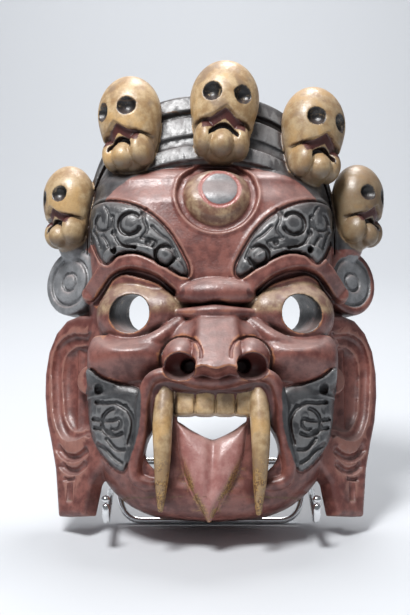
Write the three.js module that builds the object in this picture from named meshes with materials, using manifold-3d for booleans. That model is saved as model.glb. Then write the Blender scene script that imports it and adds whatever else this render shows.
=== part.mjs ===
// A carved and painted wooden mask of a wrathful protector, for Tibetan cham dances,
// leaning back on the chromed wire cradle that shows it. Millimetres, +Z up.
// The carving has a frame of its own: x to the right (u), y up its face (v) and z forward (w)
// from the plane of its back rim. One turned group leans that frame back on the cradle.
import * as THREE from "three";
import { mergeVertices } from "three/addons/utils/BufferGeometryUtils.js";
import Module from "manifold-3d";

const wasm = await Module();
wasm.setup();

// ---- driving dimensions ----
const LEAN = 22; // degrees that the carving leans back
const HALF_WIDTH = 87; // face block, without ears
const CHIN = 1.7; // bottom of the face block
const CROWN = 304.5; // top of the headdress
const TEMPLE = 195; // height where the dome of the head starts
const JAW_TURN = 83; // height where the jaw starts to narrow
const JAW_HALF = 85;
const WALL = 14; // wood left around the hollow
const FACE_SHARP = 3; // superellipse power of the block's section
const MID = 3; // the features' middle line lies a little right of the block's
const EAR_TURN = 37; // degrees that ears and earrings turn outward
const EAR_THICK = 16;
const WIRE = 2.2; // radius of the cradle's frame rods
const HOOK_WIRE = 2.6; // radius of its two hooks
const GAP = 0.3; // left at each weld and under the carving

const RAD = Math.PI / 180;
const pow = (x, p) => Math.sign(x) * Math.abs(x) ** p;
const lerp = THREE.MathUtils.lerp;

// ---- solids from three.js geometries ----
function solid(geometry) {
  const bare = geometry.clone();
  bare.deleteAttribute("normal");
  bare.deleteAttribute("uv");
  const merged = mergeVertices(bare, 1e-4);
  return new wasm.Manifold(
    new wasm.Mesh({
      numProp: 3,
      vertProperties: new Float32Array(merged.attributes.position.array),
      triVerts: new Uint32Array(merged.index.array),
    }),
  );
}

function shaped(geometry, map) {
  const place = geometry.attributes.position;
  const at = new THREE.Vector3();
  for (let i = 0; i < place.count; i++) {
    at.fromBufferAttribute(place, i);
    place.setXYZ(i, ...map(at));
  }
  return solid(geometry);
}

function joined(parts) {
  return parts.reduce((whole, part) => whole.add(part));
}

function ball([x, y, z], [rx, ry, rz], around = 12, up = 8) {
  return shaped(new THREE.SphereGeometry(1, around, up), (p) => [x + rx * p.x, y + ry * p.y, z + rz * p.z]);
}

// a tapering roll along points, its half width across the face and its half depth into it
function roll(points, width, depth, { sides = 8, steps = 8, section = 0 } = {}) {
  const curve = new THREE.CatmullRomCurve3(points.map((p) => new THREE.Vector3(...p)));
  const forward = new THREE.Vector3(0, 0, 1);
  const rod = new THREE.CylinderGeometry(1, 1, 1, sides, steps, false, section);
  return shaped(rod, (p) => {
    const t = THREE.MathUtils.clamp(p.y + 0.5, 0, 1);
    const along = curve.getTangent(t);
    const side = along.clone().cross(forward).normalize();
    const out = side.clone().cross(along);
    const at = curve.getPoint(t).addScaledVector(side, p.x * width(t)).addScaledVector(out, p.z * depth(t));
    return at.toArray();
  });
}

function disc([x, y, z], radius, depth, sides = 20) {
  const round = new THREE.CylinderGeometry(radius, radius, depth, sides);
  return shaped(round, (p) => [x + p.x, y - p.z, z - depth / 2 + p.y]);
}

function ring([x, y, z], radius, half, deep, sides = 16) {
  const section = [
    [radius - half, -deep],
    [radius + half, -deep],
    [radius + half, deep],
    [radius - half, deep],
    [radius - half, -deep],
  ].map(([r, h]) => new THREE.Vector2(r, h));
  return shaped(new THREE.LatheGeometry(section, sides), (p) => [x + p.x, y - p.z, z + p.y]);
}

function both(right, middle = MID) {
  return right.translate([middle, 0, 0]).add(right.mirror([1, 0, 0]).translate([middle, 0, 0]));
}

// ---- the face block ----
function through(stations, v) {
  const last = stations.length - 1;
  if (v <= stations[0][0]) return stations[0][1];
  if (v >= stations[last][0]) return stations[last][1];
  const i = stations.findIndex(([at]) => at > v);
  const [[v0, d0], [v1, d1]] = [stations[i - 1], stations[i]];
  return lerp(d0, d1, THREE.MathUtils.smoothstep(v, v0, v1));
}

const DEPTHS = [[CHIN, 44], [12, 59], [40, 64], [80, 67], [110, 63], [140, 59], [168, 69], [192, 71],
  [215, 71], [234, 64], [250, 50], [276, 43], [296, 36], [CROWN, 30]];

function halfWidth(v, inset = 0) {
  const high = v > TEMPLE;
  const reach = high ? CROWN - TEMPLE : JAW_TURN - CHIN;
  const past = Math.max(0, high ? v - TEMPLE : JAW_TURN - v) / (reach - inset);
  const half = (v < JAW_TURN ? JAW_HALF : HALF_WIDTH) - inset;
  const power = high ? 2.5 : 2.7;
  return half * Math.max(0, 1 - past ** power) ** (1 / power);
}

function block(inset, back, around, rows) {
  const [low, high] = [CHIN + inset, CROWN - inset];
  return shaped(new THREE.SphereGeometry(1, around, rows), (p) => {
    const v = lerp(low, high, (p.y + 1) / 2);
    const turn = Math.atan2(p.z, p.x);
    const half = halfWidth(v, inset);
    const deep = through(DEPTHS, v) - inset;
    const across = half * pow(Math.cos(turn), 2 / FACE_SHARP);
    const rise = pow(Math.max(0, Math.sin(turn)), 2 / FACE_SHARP);
    const onAxis = Math.hypot(p.x, p.z) < 1e-6;
    return onAxis ? [0, v, deep / 2] : [across, v, p.z > 0 ? deep * rise : back];
  });
}

function front(u, v) {
  const across = Math.min(0.98, Math.abs(u) / halfWidth(v));
  return through(DEPTHS, v) * (1 - across ** FACE_SHARP) ** (1 / FACE_SHARP);
}

// points on the face block, lifted off it
const onFace = (points, lift = 0) => points.map(([u, v, more = 0]) => [u, v, front(u, v) + lift + more]);

// ---- the headdress: three arched bands, s from the forehead (0) to the outline (1) ----
function crown(s, t) {
  const power = 2 / lerp(2.2, 2.5, s);
  const u = lerp(82, 90, s) * pow(Math.sin(t), power);
  const v = TEMPLE + lerp(54, CROWN - TEMPLE, s) * Math.abs(Math.cos(t)) ** power;
  return [u, v, 58 - 13 * s - 15 * Math.sin(t) ** 2];
}

function band(from, to, sink = 0) {
  const arch = new THREE.BoxGeometry(1, 1, 1, 9, 1, 1);
  return shaped(arch, (p) => {
    const [u, v, w] = crown(lerp(from, to, p.y + 0.5), p.x * Math.PI);
    return [u, v, w - sink - (p.z < 0 ? 14 : 0)];
  });
}

// ---- skulls ----
function skull() {
  const head = joined([
    ball([0, 13, 0], [24.5, 27, 22], 10, 6),
    ball([0, -13, 2], [21, 27, 18], 8, 4),
    ball([0, -28, 15], [9.4, 9, 7], 6, 3),
  ]);
  const lip = new THREE.Shape([[-22, -9], [-10, -16], [10, -16], [22, -9], [0, -4]]
    .map(([x, y]) => new THREE.Vector2(x, y)));
  const mouth = solid(new THREE.ExtrudeGeometry(lip, { depth: 20, bevelEnabled: false })).translate([0, 0, 15]);
  const sockets = both(ball([12, 9, 20], [7, 6.5, 7], 6, 3), 0);
  return head.subtract(mouth).subtract(sockets);
}

const SKULLS = [
  { at: [9, 285, 58], turn: 6, size: 1 },
  { at: [-58, 277, 52], turn: -34, size: 0.96 },
  { at: [73, 269, 52], turn: 32, size: 0.96 },
  { at: [-103, 223, 28], turn: -48, size: 0.82 },
  { at: [107, 224, 28], turn: 48, size: 0.82 },
];

function skulls() {
  return joined(SKULLS.map(({ at, turn, size }) => skull().scale(size).rotate([0, turn, 0]).translate(at)));
}

// ---- forehead ----
function thirdEye() {
  const place = [4, 219, front(4, 219)];
  return {
    added: ball(place, [23.4, 23.4, 7], 14, 6),
    cut: ring(place, 28, 1.4, 3.5, 12),
  };
}

function brows() {
  const patch = roll(
    onFace([[84, 203], [70, 199], [52, 194], [36, 184], [20, 168]]),
    (t) => lerp(17, 4, t ** 1.6),
    (t) => lerp(5, 6, t),
    { sides: 8, steps: 6 },
  );
  const curl = ([u, v], radius) => ring([u, v, front(u, v) + 4.5], radius, 1.4, 4, 6);
  return { added: both(patch, 1), cut: both(joined([curl([58, 200], 7), curl([34, 177], 6.5)])) };
}

// ---- eyes: bulging balls, bored through, under a heavy lid band ----
const EYE = [58, 139];

function eyes() {
  const bulge = ball([EYE[0], EYE[1] + 1, 50], [27, 25, 22], 11, 6);
  const corner = roll(
    [[50, 140, 56], [38, 145, 60], [22, 149, 62]],
    (t) => lerp(20, 4, t),
    (t) => lerp(14, 4, t),
    { steps: 3 },
  );
  const lid = roll(
    [[82, 160, 48], [71, 173, 58], [56, 177, 63], [38, 171, 66], [22, 158, 65]],
    () => 5,
    () => 10,
    { sides: 4, steps: 5, section: Math.PI / 4 },
  );
  const lower = roll(
    [[82, 128, 50], [70, 117, 60], [54, 113, 66], [38, 121, 68], [22, 143, 66]],
    () => 5,
    () => 6,
    { sides: 4, steps: 4, section: Math.PI / 4 },
  );
  const bore = new THREE.CylinderGeometry(13.3, 12.5, 60, 12);
  bore.rotateX(Math.PI / 2);
  const hole = solid(bore).rotate([11, 18, 0]).translate([EYE[0] - 5, EYE[1] + 3, 55]);
  return { added: both(joined([bulge, corner, lid, lower])), cut: both(hole) };
}

// ---- nose, bridge and cheeks ----
function nose() {
  const wedge = shaped(new THREE.BoxGeometry(2, 1, 1, 2, 3, 1), (p) => {
    const down = 0.5 - p.y;
    const tip = down > 0.9;
    const v = tip ? 88 : lerp(134, 97, down * 1.5);
    const half = lerp(9, 13.5, Math.min(1, down * 1.5));
    const w = tip ? 88 : lerp(80, 101, Math.min(1, down * 1.5));
    return [MID + half * p.x * (p.z > 0 ? 1 : 1.5), v, p.z > 0 ? w : 45];
  });
  const wings = both(ball([23.5, 106, 78], [12.5, 12.5, 13], 9, 5));
  const nostrils = both(ball([20, 99, 90], [5.5, 5, 9], 7, 4));
  return { added: wedge.add(wings), cut: nostrils };
}

function bridge() {
  return joined([
    ball([MID, 152, 68], [26, 10, 13], 9, 5),
    ball([MID, 140, 68], [26, 4, 11], 9, 4),
  ]);
}

function cheeks() {
  return both(ball([57, 99, 58], [27, 16, 22], 9, 6), 1);
}

// ---- mouth ----
function lips() {
  const upper = [[0, 85.5, 80], [20, 89.5, 82], [35, 92.5, 80], [43.5, 86, 77]];
  const side = [[45.5, 66, 70], [47.5, 52, 65], [51, 37, 61], [48, 27, 59], [38, 23.5, 58]];
  const half = roll([...upper, ...side], () => 4.5, () => 6, { sides: 5, steps: 8 });
  const bulk = ball([0, 86, 59], [47, 19, 20], 10, 5);
  return both(half, 0.5).add(bulk.translate([MID, 0, 0]));
}

function tunnel(corners) {
  const outline = new THREE.Shape(corners.map(([u, v]) => new THREE.Vector2(u, v)));
  return solid(new THREE.ExtrudeGeometry(outline, { depth: 140, bevelEnabled: false })).translate([0, 0, -20]);
}

// open between the upper teeth and the tongue, and outside each fang
function mouthHoles() {
  const middle = tunnel([[-23, 72], [-21, 60], [-8, 50], [10, 50], [22, 60], [24, 72]]);
  const left = tunnel([[-34, 68], [-38, 62], [-43, 50], [-42, 38], [-34, 34]]);
  const right = tunnel([[34, 34], [42, 38], [44.5, 50], [40, 62], [36, 68]]);
  return joined([middle, left, right]);
}

function teeth() {
  const arch = (u) => 77 - 0.006 * (u - 1.5) ** 2;
  const one = (u) => ball([u, 76.5, arch(u) - 9], [6.8, 7.5, 9.5], 6, 4);
  return joined([-17.5, -5, 7.5, 20].map(one));
}

function fangs() {
  const fang = (side, tip) => roll(
    [[side * 31, 88, 70], [side * 32.5, 60, 73], [side * 32.5, 40, 72], tip],
    (t) => lerp(7.2, 2, t ** 2.5),
    (t) => lerp(9, 3, t ** 2),
    { sides: 7, steps: 5 },
  );
  return fang(-1, [-33.5, 7, 66]).add(fang(1, [31, 5, 66]));
}

function tongue() {
  const leaf = new THREE.Shape();
  leaf.moveTo(1, 54);
  leaf.lineTo(-23, 65.5);
  leaf.quadraticCurveTo(-24, 45, -12, 18);
  leaf.lineTo(-1.6, -1.7);
  leaf.lineTo(10, 18);
  leaf.quadraticCurveTo(25, 45, 24, 65.5);
  const plate = new THREE.ExtrudeGeometry(leaf, { depth: 10, bevelEnabled: false, curveSegments: 3 });
  const lobe = (side) => roll(
    [[side * 11.5 + 0.7, 59, 66], [side * 9.5, 38, 67], [side * 4 - 1, 10, 66], [-1.6, -1, 65]],
    (t) => lerp(12, 1.5, t),
    (t) => lerp(7, 3, t),
    { sides: 6, steps: 4 },
  );
  const clip = solid(new THREE.ExtrudeGeometry(leaf, { depth: 40, bevelEnabled: false, curveSegments: 3 }));
  const lobes = lobe(-1).add(lobe(1)).intersect(clip.translate([0, 0, 50]));
  return solid(plate).translate([0, 0, 58]).add(lobes);
}

function chin() {
  return ball([-1.5, 18, 44], [46, 16, 19], 10, 5);
}

function jawCurls() {
  const patch = roll(
    onFace([[79, 92], [73, 76], [64, 60], [58, 38]], -3),
    (t) => lerp(3, 13, Math.sin(t * Math.PI)),
    () => 6,
    { sides: 5, steps: 4 },
  );
  const curl = ring([0, 0, 4], 8, 1.6, 4, 7).rotate([0, 40, 0]).translate([65, 66, front(65, 66) + 1]);
  return { added: both(patch, 0), cut: both(curl, 0) };
}

// ---- ears and earrings, turned outward ----
const EAR_AT = [86, 0, 36];

function outward(part) {
  return part.rotate([0, EAR_TURN, 0]).translate(EAR_AT);
}

function ear() {
  const outline = new THREE.Shape();
  outline.moveTo(-16, 40);
  outline.lineTo(-3, 26);
  outline.lineTo(2.5, 5);
  outline.lineTo(26, 5);
  outline.lineTo(30, 38);
  outline.lineTo(35, 57);
  outline.quadraticCurveTo(42, 78, 42, 100);
  outline.bezierCurveTo(42, 125, 32, 145, 10, 145);
  outline.lineTo(-10, 143);
  const plate = solid(new THREE.ExtrudeGeometry(outline, { depth: EAR_THICK, bevelEnabled: false, curveSegments: 4 }));
  const shell = ball([15, 97, 2], [20, 34, 8], 10, 4);
  const tragus = ball([-1, 96, -5], [14, 12, 6], 8, 4);
  const fold = roll([[-4, 49, 1], [12, 43, 1], [27, 56, 1]], () => 2, () => 4, { sides: 4, steps: 3 });
  return outward(plate.translate([0, 0, -EAR_THICK]).subtract(shell).subtract(fold).add(tragus));
}

function earring() {
  const spool = disc([20, 171, 0], 24, 24, 16);
  return outward(spool.subtract(ring([20, 171, 1], 16, 1.2, 2.6, 9)));
}

function sideBoard() {
  return shaped(new THREE.BoxGeometry(1, 1, 1), (p) => [88 + 12 * p.x, 118 + 200 * p.y, 12 + 20 * p.z]);
}

// ---- the whole carving ----
function carving() {
  const features = [thirdEye(), brows(), eyes(), nose(), jawCurls()];
  const grown = joined([block(0, 0, 20, 16), chin(), cheeks(), bridge(), ...features.map((f) => f.added)]);
  const hollow = block(WALL, -4, 16, 9);
  const opened = grown
    .subtract(hollow)
    .add(lips())
    .subtract(mouthHoles())
    .subtract(joined(features.map((f) => f.cut)));
  const mouth = joined([teeth(), fangs(), tongue()]);
  const bands = joined([band(0.8, 1), band(0.43, 0.73), band(0.08, 0.31)]);
  const shoulder = ball([98, 204, 20], [13, 20, 13], 8, 5);
  const sides = both(joined([ear(), earring(), sideBoard(), shoulder]), 0);
  const behind = shaped(new THREE.BoxGeometry(600, 800, 100), (p) => [p.x, p.y, p.z - 50]);
  return joined([opened, mouth, bands, sides, skulls()]).subtract(hollow).subtract(behind);
}

function meshOf(name, manifold, material) {
  const { vertProperties, triVerts, numProp } = manifold.getMesh();
  const geometry = new THREE.BufferGeometry();
  const places = new Float32Array((vertProperties.length / numProp) * 3);
  for (let i = 0; i < places.length / 3; i++) {
    for (let k = 0; k < 3; k++) places[3 * i + k] = vertProperties[numProp * i + k];
  }
  geometry.setAttribute("position", new THREE.BufferAttribute(places, 3));
  geometry.setIndex(new THREE.BufferAttribute(new Uint32Array(triVerts), 1));
  geometry.computeVertexNormals();
  const mesh = new THREE.Mesh(geometry, material);
  mesh.name = name;
  return mesh;
}

// ---- the cradle: bent rods that meet at welds ----
class Bent extends THREE.Curve {
  constructor(points) {
    super();
    this.points = points;
  }
  getPoint(t, target = new THREE.Vector3()) {
    const at = THREE.MathUtils.clamp(t, 0, 1) * (this.points.length - 1);
    const i = Math.min(Math.floor(at), this.points.length - 2);
    return target.lerpVectors(this.points[i], this.points[i + 1], at - i);
  }
  getUtoTmapping(u) {
    return u;
  }
}

function rounded(corners, radius) {
  const points = corners.map((p) => new THREE.Vector3(...p));
  const bends = points.slice(1, -1).flatMap((corner, k) => {
    const [before, after] = [points[k], points[k + 2]];
    const start = corner.clone().add(before.clone().sub(corner).setLength(radius));
    const end = corner.clone().add(after.clone().sub(corner).setLength(radius));
    return new THREE.QuadraticBezierCurve3(start, corner, end).getPoints(3);
  });
  return [points[0], ...bends, points.at(-1)];
}

// flat is the angle, in degrees round the rod, that one of its six sides faces
function rod(corners, radius, bend, flat = 0) {
  const points = rounded(corners, bend);
  const sides = 6;
  const section = new THREE.Shape(
    Array.from({ length: sides }, (_, k) => {
      const turn = (flat + (360 / sides) * (k + 0.5)) * RAD;
      return new THREE.Vector2(Math.cos(turn), Math.sin(turn)).multiplyScalar(radius / Math.cos(Math.PI / sides));
    }),
  );
  return new THREE.ExtrudeGeometry(section, {
    steps: points.length - 1,
    extrudePath: new Bent(points),
    bevelEnabled: false,
  });
}

const lean = (v, w) => ({
  y: v * Math.sin(LEAN * RAD) - w * Math.cos(LEAN * RAD),
  z: v * Math.cos(LEAN * RAD) + w * Math.sin(LEAN * RAD),
});

const FRAME_BACK = -(WIRE + 2 * GAP); // the frame's plane, behind the carving's rim
const BAR_UP = 3.4; // of the bar across the table, in the leaning plane
const BAR_HALF = 60.5;
const SIDE_HALF = 80;
const FRAME_TOP = 196;
const TOP_BAR = 188;

function frontFrame() {
  const corners = [
    [-SIDE_HALF, FRAME_TOP, FRAME_BACK],
    [-SIDE_HALF, 80, FRAME_BACK],
    [-BAR_HALF, BAR_UP, FRAME_BACK],
    [BAR_HALF, BAR_UP, FRAME_BACK],
    [SIDE_HALF, 80, FRAME_BACK],
    [SIDE_HALF, FRAME_TOP, FRAME_BACK],
  ];
  return rod(corners, WIRE, 12, LEAN - 90);
}

function topBar() {
  const half = SIDE_HALF - WIRE - 2 * GAP;
  return rod([[-half, TOP_BAR, FRAME_BACK], [0, TOP_BAR, FRAME_BACK], [half, TOP_BAR, FRAME_BACK]], WIRE, 1);
}

const TABLE = lean(BAR_UP, FRAME_BACK).z - WIRE;
const PROP_WELD = lean(125, FRAME_BACK);
const PROP_REACH = 150; // how far back the prop's bar stands

function rearProp() {
  const top = { y: PROP_WELD.y + 1.5 * WIRE, z: PROP_WELD.z - WIRE };
  const foot = { y: PROP_REACH, z: TABLE + WIRE };
  const corners = [
    [-SIDE_HALF, top.y, top.z],
    [-SIDE_HALF, foot.y, foot.z],
    [SIDE_HALF, foot.y, foot.z],
    [SIDE_HALF, top.y, top.z],
  ];
  return rod(corners, WIRE, 14, -Math.atan((foot.y - top.y) / (top.z - foot.z)) / RAD);
}

const HOOK_OUT = 71.6; // where each hook passes its side of the frame
const PRONG_OUT = 70;
const PRONG_FORWARD = -50.5;
const HOOK_UP = 20.6;
const PRONG_TOP = 33;

function hook(side) {
  const corners = [
    [side * HOOK_OUT, 14, HOOK_UP],
    [side * PRONG_OUT, PRONG_FORWARD, HOOK_UP],
    [side * PRONG_OUT, PRONG_FORWARD, PRONG_TOP],
  ];
  return rod(corners, HOOK_WIRE, 6, 0);
}

function prongTip(side) {
  const height = 5.2;
  const cap = new THREE.CylinderGeometry(3.1, 3.1, height, 10);
  cap.rotateX(Math.PI / 2);
  cap.translate(side * PRONG_OUT, PRONG_FORWARD, PRONG_TOP + GAP + height / 2);
  return cap;
}

// ---- the object ----
const paint = new THREE.MeshStandardMaterial({ color: 0x8a4c42, roughness: 0.6, metalness: 0 });
const chrome = new THREE.MeshStandardMaterial({ color: 0xc9ccd0, roughness: 0.18, metalness: 1 });

function named(name, geometry, material) {
  const mesh = new THREE.Mesh(geometry, material);
  mesh.name = name;
  return mesh;
}

const leaning = new THREE.Group();
leaning.rotation.x = (90 - LEAN) * RAD;
const mask = carving();
leaning.add(meshOf("mask", mask, paint));
leaning.add(named("front_frame", frontFrame(), chrome));
leaning.add(named("top_bar", topBar(), chrome));

const standing = new THREE.Group();
standing.add(leaning);
standing.add(named("rear_prop", rearProp(), chrome));
for (const [side, word] of [[-1, "left"], [1, "right"]]) {
  standing.add(named(`hook_${word}`, hook(side), chrome));
  standing.add(named(`prong_tip_${word}`, prongTip(side), chrome));
}

// the origin is on the table, under the middle of the object's box
const whole = new THREE.Group();
whole.add(standing);
whole.updateMatrixWorld(true);
const box = new THREE.Box3().setFromObject(whole, true);
standing.position.set(-(box.min.x + box.max.x) / 2, -(box.min.y + box.max.y) / 2, -box.min.z);

export default whole;
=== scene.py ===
"""Looks of the cham mask: its carved relief, worn paint and chromed cradle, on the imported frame.

The carving is cut as a signed distance field in its own frame, in millimetres: u to the right,
v up the face and w forward from its back rim. It is meshed once and leaned back on the cradle.
"""

import math

import bpy
import numpy as np
import openvdb
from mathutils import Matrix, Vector


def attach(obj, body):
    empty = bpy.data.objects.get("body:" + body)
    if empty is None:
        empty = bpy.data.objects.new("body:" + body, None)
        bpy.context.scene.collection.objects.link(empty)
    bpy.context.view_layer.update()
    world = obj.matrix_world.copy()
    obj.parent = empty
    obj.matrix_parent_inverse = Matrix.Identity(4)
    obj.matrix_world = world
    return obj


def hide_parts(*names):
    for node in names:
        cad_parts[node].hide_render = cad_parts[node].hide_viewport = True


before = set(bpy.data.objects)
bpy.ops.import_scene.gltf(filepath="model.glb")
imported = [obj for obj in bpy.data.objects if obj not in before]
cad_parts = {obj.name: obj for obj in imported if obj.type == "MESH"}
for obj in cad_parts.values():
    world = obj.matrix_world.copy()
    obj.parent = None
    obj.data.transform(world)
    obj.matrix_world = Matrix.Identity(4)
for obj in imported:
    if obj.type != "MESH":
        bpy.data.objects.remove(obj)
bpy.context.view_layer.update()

MM = 0.001
LEAN = math.radians(22)
SHIFT = (-2.0, -44.427, 0.0964)  # from the carving's origin to the row frame's, mm
STEP = 0.85  # of the carving's grid
TRIANGLES = 192000  # kept of the carving
FAR = 40.0

HALF_WIDTH = 87.0
JAW_HALF = 85.0
CHIN = 1.7
CROWN = 304.5
TEMPLE = 195.0
JAW_TURN = 83.0
WALL = 14.0
MID = 3.0
BOX = 4.0  # power of the block's cross-section
DEPTH_AT = (1.7, 12, 40, 80, 110, 140, 168, 192, 215, 234, 250, 276, 296, 304.5)
DEPTH = (44, 59, 64, 67, 63, 59, 69, 71, 71, 64, 50, 43, 36, 30)


# ---- numbers ----
def ramp(low, high, x):
    t = np.clip((x - low) / (high - low), 0, 1)
    return t * t * (3 - 2 * t)


def blended(a, b, k):
    h = np.maximum(k - np.abs(a - b), 0) / k
    return np.minimum(a, b) - h * h * (k / 4)


def both_in(a, b, k=0.01):
    return -blended(-a, -b, k)


def between(a, b, c, d, t):
    """A Catmull-Rom curve's place a share t of the way from b to c."""
    cubic = (3 * b - a - 3 * c + d) * t**3
    return 0.5 * (2 * b + (c - a) * t + (2 * a - 5 * b + 4 * c - d) * t**2 + cubic)


def spline(points, steps=6):
    """A Catmull-Rom curve through points, as an array of points."""
    p = np.array(points, float)
    p = np.vstack([2 * p[0] - p[1], p, 2 * p[-1] - p[-2]])
    out = []
    for i in range(1, len(p) - 2):
        for t in np.arange(steps) / steps:
            out.append(between(*p[i - 1 : i + 3], t))
    out.append(p[-2])
    return np.array(out)


def ring_of(points, steps=5):
    """A closed smooth outline."""
    p = np.array(points, float)
    n = len(p)
    out = []
    for i in range(n):
        for t in np.arange(steps) / steps:
            out.append(between(p[(i - 1) % n], p[i], p[(i + 1) % n], p[(i + 2) % n], t))
    return np.array(out)


# ---- distances ----
def ball(centre, radii):
    def distance(p):
        k0 = 0
        k1 = 0
        for x, c, r in zip(p, centre, radii):
            q = (x - c) / r
            k0 = k0 + q * q
            k1 = k1 + (q / r) ** 2
        k0 = np.sqrt(k0)
        return k0 * (k0 - 1) / np.maximum(np.sqrt(k1), 1e-4)

    return distance


def roll(points, radii, deep=1.0, steps=4):
    """A rod along points whose radius runs through radii; deep stretches it forward."""
    path = spline(points, steps)
    width = np.interp(np.linspace(0, 1, len(path)), np.linspace(0, 1, len(radii)), radii)

    def distance(p):
        u, v, w = p[0], p[1], p[2] / deep
        least = None
        for a, b, ra, rb in zip(path, path[1:], width, width[1:]):
            e = np.array([b[0] - a[0], b[1] - a[1], (b[2] - a[2]) / deep])
            x, y, z = u - a[0], v - a[1], w - a[2] / deep
            t = np.clip((x * e[0] + y * e[1] + z * e[2]) / (e @ e), 0, 1)
            off = np.sqrt((x - e[0] * t) ** 2 + (y - e[1] * t) ** 2 + (z - e[2] * t) ** 2)
            d = off - (ra + (rb - ra) * t)
            least = d if least is None else np.minimum(least, d)
        return least

    return distance


def polygon(u, v, corners):
    """Signed distance to a flat outline, negative inside."""
    nearest = 1e9
    inside = False
    for (ax, ay), (bx, by) in zip(corners, np.roll(corners, 1, axis=0)):
        ex, ey = bx - ax, by - ay
        wx, wy = u - ax, v - ay
        t = np.clip((wx * ex + wy * ey) / (ex * ex + ey * ey + 1e-9), 0, 1)
        nearest = np.minimum(nearest, (wx - ex * t) ** 2 + (wy - ey * t) ** 2)
        slope = ex / (ey if abs(ey) > 1e-6 else 1e-6)
        inside = inside ^ (((ay > v) != (by > v)) & (u < slope * wy + ax))
    return np.where(inside, -1, 1) * np.sqrt(nearest)


def along(u, v, path):
    """Distance to an open line, and how far along it the nearest point lies, 0 to 1."""
    nearest = None
    place = None
    count = len(path) - 1
    for i, (a, b) in enumerate(zip(path, path[1:])):
        ex, ey = b[0] - a[0], b[1] - a[1]
        wx, wy = u - a[0], v - a[1]
        t = np.clip((wx * ex + wy * ey) / (ex * ex + ey * ey + 1e-9), 0, 1)
        d = (wx - ex * t) ** 2 + (wy - ey * t) ** 2
        if nearest is None:
            nearest, place = d, (i + t) / count
        else:
            place = np.where(d < nearest, (i + t) / count, place)
            nearest = np.minimum(nearest, d)
    return np.sqrt(nearest), place


def groove(distance, width, depth):
    """Depth of a cut with rounded sides, width across."""
    return depth * np.sqrt(np.maximum(1 - (distance / (width / 2)) ** 2, 0))


def pillow(distance, height, shoulder):
    """Height of a cushion with an outline, rising over its shoulder."""
    t = np.clip(-distance / shoulder, 0, 1)
    return height * np.sqrt(1 - (1 - t) ** 2)


# ---- the field ----
class Carving:
    def __init__(self, low, high, step):
        self.low = np.array(low, float)
        self.step = step
        self.count = np.ceil((np.array(high) - self.low) / step).astype(int) + 1
        self.field = np.full(self.count, FAR, np.float32)

    def window(self, box):
        low, high = np.array(box[0], float), np.array(box[1], float)
        first = np.clip(np.floor((low - self.low) / self.step).astype(int), 0, self.count - 1)
        last = np.clip(np.ceil((high - self.low) / self.step).astype(int) + 1, 1, self.count)
        where = tuple(slice(a, b) for a, b in zip(first, last))
        axes = [(self.low[k] + self.step * np.arange(first[k], last[k])).astype(np.float32) for k in range(3)]
        return where, np.ix_(*axes)

    def add(self, shape, box, blend=1.0):
        where, p = self.window(box)
        self.field[where] = blended(self.field[where], shape(p), blend)

    def cut(self, shape, box, blend=0.8):
        where, p = self.window(box)
        self.field[where] = both_in(self.field[where], -shape(p), blend)

    def sink(self, depth, box, fade=6.0):
        """Lowers the surface by depth(p), fading out towards the back of the box."""
        where, p = self.window(box)
        self.field[where] += depth(p) * ramp(box[0][2], box[0][2] + fade, p[2])

    def each_side(self, work, shape, box, middle=0.0, **more):
        """Works a shape given for the right side, and its mirror image."""
        (u0, v0, w0), (u1, v1, w1) = box
        right = ((u0 + middle, v0, w0), (u1 + middle, v1, w1))
        work(lambda p: shape((p[0] - middle, p[1], p[2])), right, **more)
        mirror = ((middle - u1, v0, w0), (middle - u0, v1, w1))
        work(lambda p: shape((middle - p[0], p[1], p[2])), mirror, **more)

    def at(self, points):
        """Field value at points, by interpolation."""
        q = np.clip((points - self.low) / self.step, 0, self.count - 1.001)
        i = q.astype(int)
        t = q - i
        total = 0
        for corner in np.ndindex(2, 2, 2):
            c = np.array(corner)
            weight = np.prod(np.where(c, t, 1 - t), axis=1)
            j = i + c
            total = total + weight * self.field[j[:, 0], j[:, 1], j[:, 2]]
        return total


# ---- the face block ----
def depth_at(v):
    v = np.asarray(v)
    i = np.clip(np.searchsorted(DEPTH_AT, v, side="right") - 1, 0, len(DEPTH) - 2)
    low, high = np.take(DEPTH_AT, i), np.take(DEPTH_AT, i + 1)
    t = ramp(0, 1, (v - low) / (high - low))
    return np.take(DEPTH, i) * (1 - t) + np.take(DEPTH, i + 1) * t


def half_width(v, inset=0.0):
    high = v > TEMPLE
    reach = np.where(high, CROWN - TEMPLE, JAW_TURN - CHIN)
    past = np.maximum(0, np.where(high, v - TEMPLE, JAW_TURN - v)) / (reach - inset)
    half = np.where(v < JAW_TURN, JAW_HALF, HALF_WIDTH) - inset
    power = np.where(high, 2.5, 2.7)
    return np.maximum(half * np.maximum(0, 1 - past**power) ** (1 / power), 1.0)


def block(inset):
    def distance(p):
        u, v, w = p
        half = half_width(v, inset)
        deep = depth_at(v) - inset
        a, b = np.abs(u) / half, np.maximum(w, 0.0) / deep
        r = np.maximum((a**BOX + b**BOX) ** (1 / BOX), 1e-4)
        half_slope = (half_width(v + 1, inset) - half_width(v - 1, inset)) / 2
        deep_slope = (depth_at(v + 1) - depth_at(v - 1)) / 2
        du = (a / r) ** (BOX - 1) / half
        dw = (b / r) ** (BOX - 1) / deep
        dv = (a**BOX * half_slope / half + b**BOX * deep_slope / deep) / r ** (BOX - 1)
        side = (r - 1) / np.sqrt(du**2 + dv**2 + dw**2)
        ends = np.maximum(CHIN + inset - v, v - CROWN + inset)
        return np.clip(both_in(side, ends, 4.0), -FAR, FAR)

    return distance


# ---- forehead ----
THIRD = (4.0, 223.0)
PUPIL = (6.0, 225.5)


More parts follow.
